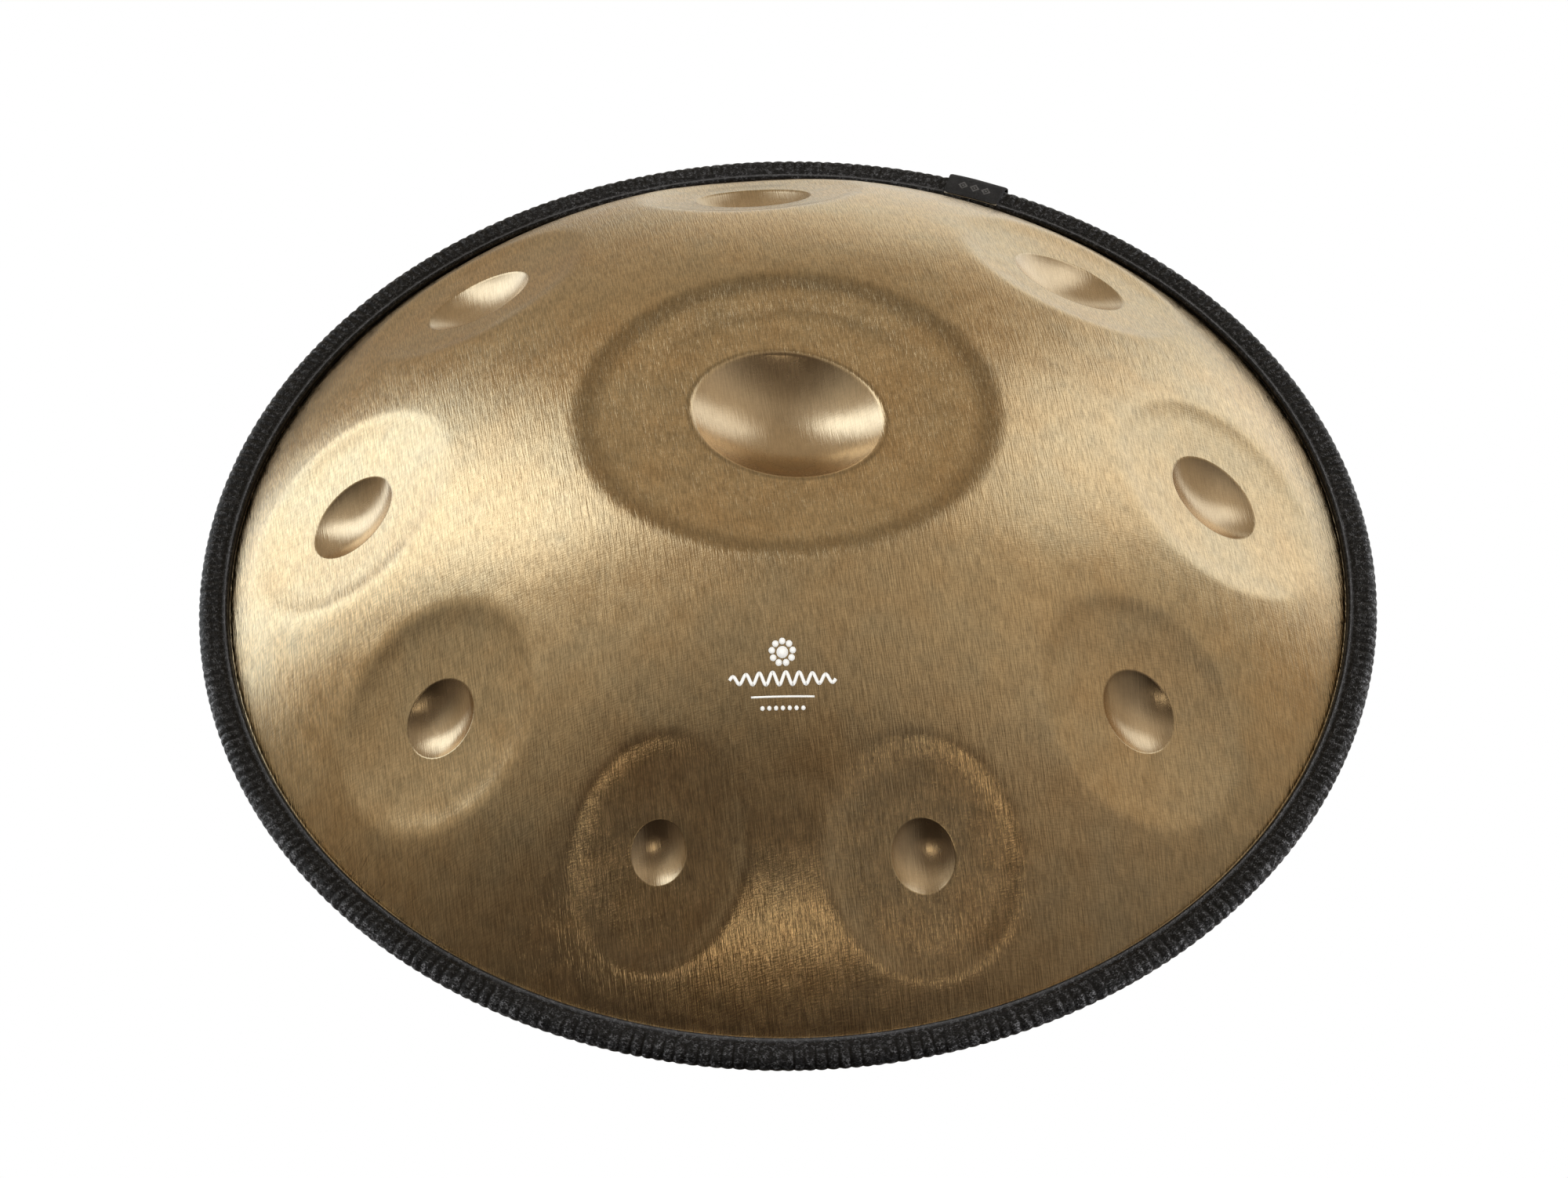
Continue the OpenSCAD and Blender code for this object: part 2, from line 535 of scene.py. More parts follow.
@dataclass(frozen=True)
class GoldSteel(Finish):
    """Heat-toned steel sheet, brushed along one level direction.

    The polish attribute is 1 in the dimples, which keep only faint streaks;
    the groove attribute is 1 where painted shade darkens the creases and dimple walls.
    """

    name: str = Slot.STEEL.value
    tone: tuple = (0.79, 0.605, 0.36)
    warm_tone: tuple = (0.80, 0.58, 0.33)
    cool_tone: tuple = (0.76, 0.61, 0.39)
    polished: tuple = (0.80, 0.63, 0.42)
    roughness: float = 0.20
    brush_turn: float = -7.7
    layers: tuple = ((0.0, 0.62, 9.0), (3.0, 0.40, 4.0), (86.0, 0.55, 3.5))  # turn, width, length
    crease_shade: float = 0.60
    scratch: tuple = (0.06, 0.045, 0.03)
    scratch_ring: tuple = (250.0, 262.0)
    # painted shadow colour for the dark gap under the edge trim
    gap_shadow: tuple = (0.02, 0.017, 0.014)
    gap_shadow_ring: tuple = (264.8, 265.4)

    def paint(self, w: Wiring, shader: Node, groups: Groups, spots: Outputs) -> None:
        """Two tints in patches, under three layers of streaks."""
        place = spots["Object"]
        # groove carries painted shade for the creases and dimple walls
        polish, groove = w.attribute("polish"), w.attribute("groove")
        rough_part = w.less(1.0, w.times(polish, 0.62))
        lines, hairs, cross = (
            w.group(
                groups.brushed,
                Place=place,
                Turn=radians(self.brush_turn + turn),
                Width=width * MM,
                Length=length * MM,
            ).outputs
            for turn, width, length in self.layers
        )
        patches = groups.cloud(w, place, 0.055)
        stains = groups.cloud(w, place, 0.012)
        tint = w.mix(patches, self.warm_tone, self.cool_tone)
        tint = w.mix(w.times(stains, 0.5), tint, self.tone)
        tint = w.mix(polish, tint, self.polished)
        marks = w.times(
            w.ramp(lines["Fine"], 0.28, 0.68, (0.80, 1.12)),
            w.ramp(hairs["Fine"], 0.30, 0.50, (0.83, 1.03)),
            w.ramp(cross["Fine"], 0.30, 0.60, (0.91, 1.03)),
            w.ramp(stains, 0.0, 1.0, (0.95, 1.05)),
        )
        marks = w.plus(1.0, w.times(rough_part, w.less(marks, 1.0)))
        # painted shade: groove, broken up by the stains, darkens the colour
        painted_shade = w.times(groove, w.ramp(stains, 0.0, 0.6, (0.7, 1.0)))
        marks = w.times(marks, w.ramp(painted_shade, 0.0, 1.0, (1.0, self.crease_shade)))
        shade = w.node("ShaderNodeCombineColor", Red=marks, Green=marks, Blue=marks).outputs[0]
        colour = w.mix(1.0, tint, shade, "MULTIPLY")
        colour = w.mix(self._scratches(w, place), colour, self.scratch)
        # painted shadow: a dark line where the bowl runs in under the edge trim
        colour = w.mix(self._trim_gap_shadow(w, place), colour, self.gap_shadow)
        rough = w.ramp(stains, 0.0, 1.0, (-0.03, 0.03))
        rough = w.plus(rough, self.roughness, w.times(polish, 0.05))
        w.finish(shader, Base_Color=colour, Roughness=rough, Metallic=1.0)
        height = w.plus(
            w.times(lines["Fine"], 0.95),
            w.times(hairs["Fine"], 0.30),
            w.times(cross["Fine"], 0.22),
            w.times(lines["Bundles"], 0.8),
        )
        w.bump(w.times(height, rough_part), 0.00017, 1.0, shader)

    def _trim_gap_shadow(self, w: Wiring, place: Socket) -> Socket:
        """Where the bowl runs in under the edge trim, painted dark as the shadow in the gap."""
        x, y, _ = w.parts(place)
        return w.ramp(w.level_radius(x, y), *(r * MM for r in self.gap_shadow_ring))

    def _scratches(self, w: Wiring, place: Socket) -> Socket:
        """Short dark scratches down the slope, close to the rim.

        The place is written as angle and radius; noise that is narrow across
        and long down the slope is cut off high, and kept to a ring.

        Args:
            w: The material's wiring.
            place: Place on the drum.

        Returns:
            How strong a scratch is, from 0 to 1.
        """
        x, y, _ = w.parts(place)
        radius = w.level_radius(x, y)
        spot = w.spot(X=w.times(w.math("ARCTAN2", y, x), 640.0), Y=w.times(radius, 130.0))
        lines = w.ramp(w.noise(spot, 1.0, 1.0, True), 0.69, 0.74)
        ring = w.ramp(radius, *(r * MM for r in self.scratch_ring))
        return w.times(lines, w.times(ring, w.ramp(w.noise(place, 11.0, 1.0), 0.5, 0.62)), 0.7)


@dataclass(frozen=True)
class TrimVinyl(Finish):
    """Soft black vinyl with a fine leather grain, rubbed grey on its ribs, with painted shade in
    the rib valleys and a painted highlight along the inner bead.
    """

    name: str = Slot.TRIM.value
    colour: tuple = (0.0025, 0.0025, 0.0026)
    rubbed: tuple = (0.072, 0.072, 0.075)
    # painted highlight colour for the inner bead
    bead: tuple = (0.12, 0.12, 0.125)
    roughness: float = 0.46
    specular: float = 0.22
    grain: float = 0.8

    def paint(self, w: Wiring, shader: Node, groups: Groups, spots: Outputs) -> None:
        """Leather cells, grey on the ribs and darkened in the valleys by painted shade."""
        stretch, lean = (1.0, 1.7, 1.0), (0, 0, 0.5)
        surface = w.node("ShaderNodeMapping", Vector=spots["UV"], Scale=stretch, Rotation=lean)
        cells = w.node(
            "ShaderNodeTexVoronoi",
            {"feature": "SMOOTH_F1"},
            Vector=surface.outputs[0],
            Scale=1000 / self.grain,
            Smoothness=0.6,
        ).outputs["Distance"]
        worn, speckle = (groups.cloud(w, spots["Object"], size) for size in (0.01, 0.0022))
        light = w.times(
            w.ramp(cells, 0.75, 0.1),
            w.ramp(speckle, 0.35, 0.9, (0.15, 1.0)),
            # painted shade: darker in the rib valleys
            w.ramp(w.attribute("valley"), 0.15, 0.75, (1.0, 0.05)),
        )
        colour = w.mix(light, self.colour, self.rubbed)
        # painted highlight: a lighter line along the inner bead
        colour = w.mix(w.times(w.attribute("bead"), 0.8), colour, self.bead)
        rough = w.ramp(worn, 0.0, 1.0, (self.roughness - 0.05, self.roughness + 0.06))
        w.finish(shader, Base_Color=colour, Roughness=rough, Specular_IOR_Level=self.specular)
        w.bump(w.less(1.0, cells), 0.0002, 0.8, shader)


@dataclass(frozen=True)
class PlainFinish(Finish):
    """A finish of one colour with soft variation, for inner and small parts."""

    colour: tuple
    roughness: float
    metallic: float = 0.0
    patch: float = 0.008
    spread: float = 0.25

    def paint(self, w: Wiring, shader: Node, groups: Groups, spots: Outputs) -> None:
        """Patches that are a little darker and rougher than the rest."""
        value = groups.cloud(w, spots["Object"], self.patch)
        darker = tuple(c * (1 - self.spread) for c in self.colour)
        colour = w.mix(value, darker, self.colour)
        rough = w.ramp(value, 0.0, 1.0, (self.roughness, self.roughness * 0.8))
        w.finish(shader, Base_Color=colour, Roughness=rough, Metallic=self.metallic)
        w.bump(value, 0.0001, 0.3, shader)


@dataclass(frozen=True)
class TagCloth(Finish):
    """Black woven tape with a row of three small grey diamonds.

    The surface coordinates run across the tape and along its fold, in metres.
    """

    name: str = Slot.CLOTH.value
    black: tuple = (0.012, 0.012, 0.013)
    grey: tuple = (0.075, 0.072, 0.07)
    gaps: tuple = (0.004, 0.004, 0.004)
    thread: float = 0.45
    cell: float = 6.2
    row_at: float = 6.8

    def paint(self, w: Wiring, shader: Node, groups: Groups, spots: Outputs) -> None:
        """A weave, sin u * sin v, under the diamonds."""
        u, v, _ = w.parts(spots["UV"])
        turns = 2 * pi / (self.thread * MM)
        over, under = (w.math("SINE", w.times(along, turns)) for along in (u, v))
        height = w.ramp(w.times(over, under), -0.7, 0.7)
        colour = w.mix(self._diamonds(w, u, v), self.black, self.grey)
        colour = w.mix(w.ramp(height, 0.0, 1.0, (0.5, 0.0)), colour, self.gaps)
        rough = w.ramp(groups.cloud(w, spots["Object"], 0.006), 0.0, 1.0, (0.62, 0.8))
        w.finish(shader, Base_Color=colour, Roughness=rough)
        w.bump(height, 0.0001, 0.8, shader)

    def _diamonds(self, w: Wiring, u: Socket, v: Socket) -> Socket:
        """Outlined diamonds: |u| + |v| within a band, repeated across the tape.

        Args:
            w: The material's wiring.
            u: Distance across the tape.
            v: Distance along the fold.

        Returns:
            1 on a diamond, 0 elsewhere.
        """
        cell = self.cell * MM
        across = w.less(w.math("FRACT", w.plus(w.over(u, cell), 0.5)), 0.5)
        level = w.over(w.less(v, self.row_at * MM), cell)
        size = w.plus(w.math("ABSOLUTE", across), w.math("ABSOLUTE", level))
        outline = w.times(w.ramp(size, 0.44, 0.40), w.ramp(size, 0.22, 0.26))
        middle = w.ramp(size, 0.14, 0.10)
        near = w.math("LESS_THAN", w.math("ABSOLUTE", u), 1.5 * cell)
        return w.times(w.math("MAXIMUM", outline, middle), near)


# Bowls


@dataclass(frozen=True)
class PressedField:
    """A flattened oval of the bowl with an oval dimple in its middle."""

    turn: float
    reach: float
    width: float
    length: float
    dimple_width: float
    dimple_length: float
    dimple_depth: float
    dimple_turn: float = 0.0
    shift: tuple = (0.0, 0.0)
    steps: tuple = ((1.4, 1.10, 0.78), (1.6, 0.98, 0.28))
    lip: float = 0.25

    def axes(self, curve_r: float) -> tuple[Array, Array, Array]:
        """Directions down the bowl, round the bowl and out of the field.

        Args:
            curve_r: Radius of curvature of the bowl.

        Returns:
            Three unit vectors.
        """
        plane = sqrt(curve_r**2 - self.width * self.length / 4)
        tilt, turn = asin(self.reach / plane), radians(self.turn)
        down = [cos(tilt) * cos(turn), cos(tilt) * sin(turn), -sin(tilt)]
        out = [sin(tilt) * cos(turn), sin(tilt) * sin(turn), cos(tilt)]
        return np.array(down), np.array([-sin(turn), cos(turn), 0.0]), np.array(out)

    def outlines(self, angle: Array) -> tuple[Array, Array]:
        """Radii of the dimple's lip and of the field's edge in each direction."""
        lip = oval_radius(angle, self.dimple_length / 2, self.dimple_width / 2, self.dimple_turn)
        return lip, oval_radius(angle, self.length / 2, self.width / 2)

    def ovals(self, ball: Array, curve_r: float) -> tuple[Array, Array, Array]:
        """The field's and the dimple's oval radii in each point.

        Args:
            ball: Points from the centre of curvature.
            curve_r: Radius of curvature of the bowl.

        Returns:
            The field's q, the dimple's p, and whether the point faces out.
        """
        down, around, out = self.axes(curve_r)
        u, v, facing = ball @ down - self.shift[0], ball @ around - self.shift[1], ball @ out > 0
        q = np.hypot(2 * u / self.length, 2 * v / self.width)
        turn = radians(self.dimple_turn)
        s, t = u * cos(turn) + v * sin(turn), v * cos(turn) - u * sin(turn)
        return q, np.hypot(2 * s / self.dimple_length, 2 * t / self.dimple_width), facing

    def depth(self, ball: Array, curve_r: float) -> Array:
        """How far the field presses in each point of the bowl's sphere.

        With q the field's oval radius, the flat is S (1 - q^2) deep, where
        S = width * length / (8 R), and each soft step adds its own height
        between its outer and its inner q.
        With p the dimple's oval radius, its bowl is a sphere cap of the given
        depth, and its lip is rounded.

        Args:
            ball: Points from the centre of curvature.
            curve_r: Radius of curvature of the bowl.

        Returns:
            Depths, zero outside the field.
        """
        q, p, facing = self.ovals(ball, curve_r)
        flat = self.width * self.length / (8 * curve_r) * soft_positive(1 - q * q, 0.09)
        for height, outer, inner in self.steps:
            flat += height * smooth_step(q, outer, inner)
        half, deep = self.dimple_width / 2, self.dimple_depth
        cap_r = (half**2 + deep**2) / (2 * deep)
        cap = np.sqrt(np.clip(cap_r**2 - (p * half) ** 2, 0, None)) - (cap_r - deep)
        cap = np.where(p * half < cap_r, cap, -deep)
        return facing * (flat + soft_positive(cap, self.lip))


CENTRE_NOTE = PressedField(
    turn=0,
    reach=0,
    width=168,
    length=190,
    dimple_width=77.5,
    dimple_length=93.5,
    dimple_depth=17.3,
    dimple_turn=-21,
    shift=(1.0, 0.5),
    steps=((1.6, 1.07, 0.91), (0.9, 0.88, 0.74)),
    lip=0.5,
)
FRONT_STEPS = ((1.3, 1.10, 0.78),)
LARGEST_DIMPLE = 58


def ring_of_fields() -> tuple[PressedField, ...]:
    """The nine tone fields, from the right and on round the drum.

    Returns:
        One entry for each field, with dimples a little longer than wide and
        0.18 times as deep as wide, and more for the largest; the two in
        front are pressed in least.
    """
    turns = (0, 44.9, 94.2, 138.3, 181, 218.7, 253.8, 286.1, 321.3)
    reaches = (201.6, 197.5, 206, 200, 204.6, 203, 209.5, 211.5, 203.6)
    widths = (105, 116, 112, 112, 104, 93, 78, 88, 93)
    lengths = (120, 124, 126, 124, 120, 112, 106, 110, 116)
    dimples = (44, 56, 58, 52, 42.5, 33, 25, 29, 35)
    ring = []
    for turn, *sizes, dimple in zip(turns, reaches, widths, lengths, dimples):
        deep = (0.23 if dimple == LARGEST_DIMPLE else 0.18) * dimple
        steps = FRONT_STEPS if 240 < turn < 300 else PressedField.steps
        ring.append(PressedField(turn, *sizes, dimple, 1.18 * dimple, deep, steps=steps))
    return tuple(ring)


@dataclass
class Bowl:
    """Sizes that both bowls have."""

    rim_z: float
    curve_r: float = 334.0
    rim_r: float = 265.0
    flange_r: float = 276.8
    wall: float = 1.2


@dataclass
class UpperShell(Bowl):
    """The upper bowl: a sphere cap with a centre note and nine tone fields."""

    inner_wall: float = 2.2
    flange_top: float = 1.35
    fillet: float = 1.8
    band: tuple = (146.0, 260.0)
    columns: int = 432
    radial_steps: int = 36
    centre: PressedField = CENTRE_NOTE
    fields: tuple = field(default_factory=ring_of_fields)

    @property
    def drop(self) -> float:
        """How far the centre of curvature is below the rim plane."""
        return sqrt(self.curve_r**2 - self.rim_r**2) - self.flange_top

    def _ball(self, x: Array, y: Array) -> Array:
        """Points of the sphere over level coordinates, from its centre."""
        return np.stack([x, y, np.sqrt(self.curve_r**2 - x * x - y * y)], -1)

    def surface(self, x: Array, y: Array, inset: float = 0.0) -> Array:
        """The pressed bowl over level coordinates.

        The point (x, y, sqrt(R^2 - x^2 - y^2)) of the sphere is moved along
        its normal by the sum of all pressed depths, a little hammering and
        the inset.

        Args:
            x: First coordinate.
            y: Second coordinate.
            inset: Distance inside the outer surface.

        Returns:
            Points with heights from the floor.
        """
        ball = self._ball(x, y)
        pressed = self.centre.depth(ball, self.curve_r)
        for one in self.fields:
            pressed = pressed + one.depth(ball, self.curve_r)
        calm = smooth_step(np.hypot(x, y), self.rim_r - 3, self.rim_r - 30)
        pressed = pressed + calm * hammered(x, y) + inset
        points = ball * (1 - pressed / self.curve_r)[..., None]
        points[..., 2] += self.rim_z - self.drop
        return points

    def _sector_angles(self) -> list[Array]:
        """Column directions of each field's sector, which ends halfway
        between the field and its neighbours.

        Returns:
            One array of directions for each field.
        """
        half = [degrees(f.width / 2 / f.reach) for f in self.fields]
        turns = [f.turn for f in self.fields]
        ends = []
        for n, (turn, own) in enumerate(zip(turns, half)):
            nxt = turns[(n + 1) % len(turns)] + (360 if n + 1 == len(turns) else 0)
            ends.append((turn + own + nxt - half[(n + 1) % len(turns)]) / 2)
        starts = [ends[-1] - 360] + ends[:-1]
        shares = [(e - s) / 360 * self.columns / 2 for s, e in zip(starts, ends)]
        places = np.round(np.cumsum(shares))
        counts = np.diff(np.concatenate([[0], places])).astype(int) * 2
        return [np.radians(np.linspace(s, e, c + 1)) for s, e, c in zip(starts, ends, counts)]

    def build(self) -> Thing:
        """Builds the closed shell from rings of the centre, one block round
        each dimple, the rim with its flange, and the inner side.

        Returns:
            The shell.
        """
        work = Patchwork()
        sectors = self._sector_angles()
        angles = np.concatenate([s[:-1] for s in sectors])
        inner_r, outer_r = self.band
        inner = work.add(self._circle(inner_r, angles))
        outer = work.add(self._circle(outer_r, angles))
        self._centre(work, angles[::2], inner)
        self._blocks(work, sectors, inner, outer)
        self._rim(work, angles, outer)
        shell = work.build("upper_shell_skin")
        self._polish_and_shade(shell)
        return shell

    def _polish_and_shade(self, shell: Thing) -> None:
        """Writes where the steel is polished and where painted shade darkens it.

        Polish is 1 inside a dimple's lip. Groove is painted shade: a smooth band
        round the edge of the centre note, stronger at the back, a fainter one
        inside its far side, the near half of the centre dimple, a ring just
        outside its lip, a very faint band round each tone field and the walls
        of each dimple.

        Args:
            shell: The finished bowl.
        """
        points = np.empty(len(shell.data.vertices) * 3)
        shell.data.vertices.foreach_get("co", points)
        ball = points.reshape(-1, 3) / MM - [0, 0, self.rim_z - self.drop]
        ball *= self.curve_r / np.linalg.norm(ball, axis=1, keepdims=True)
        q, p, _ = self.centre.ovals(ball, self.curve_r)
        polish = smooth_step(p, 1.03, 0.96)
        # painted shade: bands that darken the creases, the dimple walls and the near half of the
        # centre dimple
        groove = smooth_step(q, 0.87, 0.98) * smooth_step(q, 1.10, 0.99)
        far = smooth_step(ball[:, 1], 20, 60)
        groove *= 0.72 + 0.28 * smooth_step(ball[:, 1], -40, 50)
        groove += 0.55 * far * smooth_step(q, 0.68, 0.75) * smooth_step(q, 0.83, 0.76)
        groove += 0.04 * smooth_step(q, 1.0, 0.9) * smooth_step(p, 0.98, 1.04)
        groove += 0.9 * smooth_step(ball[:, 1], -4, -27) * smooth_step(p, 1.0, 0.97)
        groove += 0.75 * smooth_step(p, 0.99, 1.03) * smooth_step(p, 1.08, 1.04)
        for one in self.fields:
            q, p, facing = one.ovals(ball, self.curve_r)
            polish += facing * smooth_step(p, 1.03, 0.96)
            # painted shade round each tone field and on its dimple walls
            groove += 0.16 * facing * smooth_step(q, 0.78, 0.92) * smooth_step(q, 1.10, 0.96)
            groove += 0.40 * facing * smooth_step(p, 0.70, 0.98) * smooth_step(p, 1.06, 1.00)
        write_values(shell, polish=polish, groove=groove)

    def _circle(self, radius: Array | float, angles: Array, inset: float = 0.0) -> Array:
        """Points of the surface at level radii and directions."""
        return self.surface(radius * np.cos(angles), radius * np.sin(angles), inset)

    def _centre(self, work: Patchwork, angles: Array, rim: Array) -> None:
        """Rings from the middle through the dimple's lip and the note's edge
        to the ring of fields; the last ring joins twice as many columns.

        Args:
            work: The mesh so far.
            angles: Column directions.
            rim: Point numbers of the ring that it joins.
        """
        lip, edge = self.centre.outlines(angles)
        radii = self._spokes(lip, edge, np.full_like(angles, self.band[0]), (11, 11, 9, 7, 13))
        rings = work.add(self._circle(radii, angles))
        work.grid(rings, closed=True, flip=True)
        work.fan(work.add(self._circle(np.zeros(1), np.zeros(1))), rings[0])
        last, after = rings[-1], np.roll(rings[-1], -1)
        work.face(last, rim[0::2], rim[1::2], np.roll(rim, -2)[0::2], after)

    @staticmethod
    def _spokes(lip: Array, edge: Array, end: Array, steps: tuple) -> Array:
        """Radii of rings: close together at the lip and at the edge, which
        never reach past the boundary.

        Args:
            lip: Radius of the dimple's lip in each direction.
            edge: Radius of the field's edge in each direction.
            end: Radius of the block's boundary in each direction.
            steps: Number of rings inside the lip, at it, up to the edge, at
                it, and up to the boundary.

        Returns:
            One row of radii for each ring; the boundary itself is left out.
        """
        before, after = np.minimum(0.91 * edge, 0.90 * end), np.minimum(1.08 * edge, 0.97 * end)
        marks = [0.06 * lip, 0.87 * lip, 1.12 * lip, before, after, end]
        rows = []
        for low, high, count in zip(marks[:-1], marks[1:], steps):
            t = (np.arange(count) / count)[:, None]
            rows.append(low * (1 - t) + high * t)
        return np.concatenate(rows)

    def _blocks(self, work: Patchwork, sectors: list, inner: Array, outer: Array) -> None:
        """Lays one block of rings round each dimple, out to its sector's edge.

        Args:
            work: The mesh so far.
            sectors: Column directions of each field's sector.
            inner: Point numbers of the inner ring.
            outer: Point numbers of the outer ring.
        """
        inner_r, outer_r = self.band
        radii = np.linspace(inner_r, outer_r, self.radial_steps + 1)[1:-1]
        starts = np.cumsum([0] + [len(s) - 1 for s in sectors])
        sides = [work.add(self._circle(radii, s[0])) for s in sectors]
        for n, one in enumerate(self.fields):
            run = np.arange(starts[n], starts[n + 1] + 1) % len(inner)
            right, left = sides[n], sides[(n + 1) % len(sides)]
            loop = np.concatenate([outer[run], left[::-1], inner[run][::-1], right])
            sector, side = sectors[n], np.ones(len(radii))
            ends = np.full(len(run), outer_r), np.full(len(run), inner_r)
            r = np.concatenate([ends[0], radii[::-1], ends[1], radii])
            angle = np.concatenate([sector, side * sector[-1], sector[::-1], side * sector[0]])
            self._block(work, one, loop, r * np.cos(angle), r * np.sin(angle))

    def _block(self, work: Patchwork, one: PressedField, loop: Array, x: Array, y: Array) -> None:
        """One block: straight spokes in the field's own plane, from its middle
        to the loop of boundary points.

        Args:
            work: The mesh so far.
            one: The field.
            loop: Point numbers of the boundary.
            x: First coordinates of the boundary.
            y: Second coordinates of the boundary.
        """
        down, around, out = one.axes(self.curve_r)
        ball = self._ball(x, y)
        u, v = ball @ down, ball @ around
        angle, end = np.arctan2(v, u), np.hypot(u, v)
        radii = self._spokes(*one.outlines(angle), end, (8, 11, 9, 7, 6))

        def place(radius: Array) -> Array:
            """Points of the surface at one radius along each spoke."""
            s, t = radius * np.cos(angle), radius * np.sin(angle)
            high = np.sqrt(self.curve_r**2 - s * s - t * t)
            spot = s[..., None] * down + t[..., None] * around + high[..., None] * out
            return self.surface(spot[..., 0], spot[..., 1])

        rings = work.add(place(radii))
        work.grid(np.concatenate([rings, loop[None]]), closed=True, flip=True)
        work.fan(work.add(place(np.zeros_like(angle))[:1]), rings[0])

    def _rim(self, work: Patchwork, angles: Array, outer: Array) -> None:
        """The strip down to the rim, its fillet, the flange and the inner side.

        The fillet's centre is one fillet radius above the flange and outside
        the sphere, where both surfaces touch the rounding.

        Args:
            work: The mesh so far.
            angles: Column directions.
            outer: Point numbers of the ring that it starts from.
        """
        fillet, top = self.fillet, self.flange_top
        high = self.drop + top + fillet
        at = sqrt((self.curve_r + fillet) ** 2 - high**2)
        touch = degrees(atan2(high, at))
        rows = [work.add(self._circle(r, angles)) for r in (261.5, 262.8)]
        curve = arc((at, top + fillet), fillet, touch + 180, 270, 5)
        under = top - self.wall
        bend = arc((at, top + fillet), fillet + self.wall, 270, touch + 180, 3)
        flange = np.array([[self.flange_r, top], [self.flange_r, under]])
        profile = np.concatenate([curve, flange, bend])
        rows.append(work.add(turned(profile[:, :1], profile[:, 1:] + self.rim_z, angles)))
        skin = np.concatenate([outer[None]] + [np.atleast_2d(r) for r in rows])
        work.grid(skin, closed=True, flip=True)
        self._inside(work, angles[::2], skin[-1])

    def _inside(self, work: Patchwork, angles: Array, rim: Array) -> None:
        """The inner side: the pressed surface moved in by the wall.

        Args:
            work: The mesh so far.
            angles: Column directions.
            rim: Point numbers of the ring that it joins.
        """
        radii = np.concatenate([np.linspace(259, 12, 54), [4.0]])
        rings = np.stack([self._circle(r, angles, self.inner_wall) for r in radii])
        numbers = work.add(rings)
        work.grid(numbers, closed=True, flip=True)
        hub = work.add(self._circle(np.zeros(1), np.zeros(1), self.inner_wall))
        work.fan(hub, numbers[-1], flip=True)
        first, after = numbers[0], np.roll(numbers[0], -1)
        work.face(first, after, np.roll(rim, -2)[0::2], rim[1::2], rim[0::2])


@dataclass
class LowerShell(Bowl):
    """The lower bowl: a turned sphere cap with a rolled sound port."""

    flange_under: float = -1.35
    port_r: float = 48.0
    lip_r: float = 7.0
    neck_h: float = 16.0
    columns: int = 288

    def build(self) -> Thing:
        """Turns one closed outline: flange, bowl, lip, neck and back.

        Returns:
            The shell.
        """
        middle = self.rim_z + sqrt(self.curve_r**2 - self.rim_r**2) + self.flange_under
        rim = degrees(asin(self.rim_r / self.curve_r)) - 90
        lip_at = self.port_r + self.lip_r
        lip = degrees(asin(lip_at / (self.curve_r - self.lip_r))) - 90
        under = self.rim_z + self.flange_under
        inner_r = self.curve_r - self.wall
        inner_rim = degrees(acos((middle - under - self.wall) / inner_r)) - 90
        neck = self.lip_r + self.neck_h
        outline = np.concatenate([
            [[self.flange_r, under + self.wall], [self.flange_r, under]],
            arc((0, middle), self.curve_r, rim, lip, 44),
            arc((lip_at, self.lip_r), self.lip_r, lip, -180, 20)[1:],
            [[self.port_r, neck], [self.port_r + self.wall, neck]],
            arc((lip_at, self.lip_r), self.lip_r - self.wall, -180, lip, 12),
            arc((0, middle), inner_r, lip, inner_rim, 30)[1:],
        ])
        work = Patchwork()
        angles = np.linspace(0, 2 * pi, self.columns, endpoint=False)
        rings = work.add(turned(outline[:, :1], outline[:, 1:], angles))
        work.grid(np.concatenate([rings, rings[:1]]), closed=True, flip=True)
        return work.build("lower_shell_skin")


# Edge parts


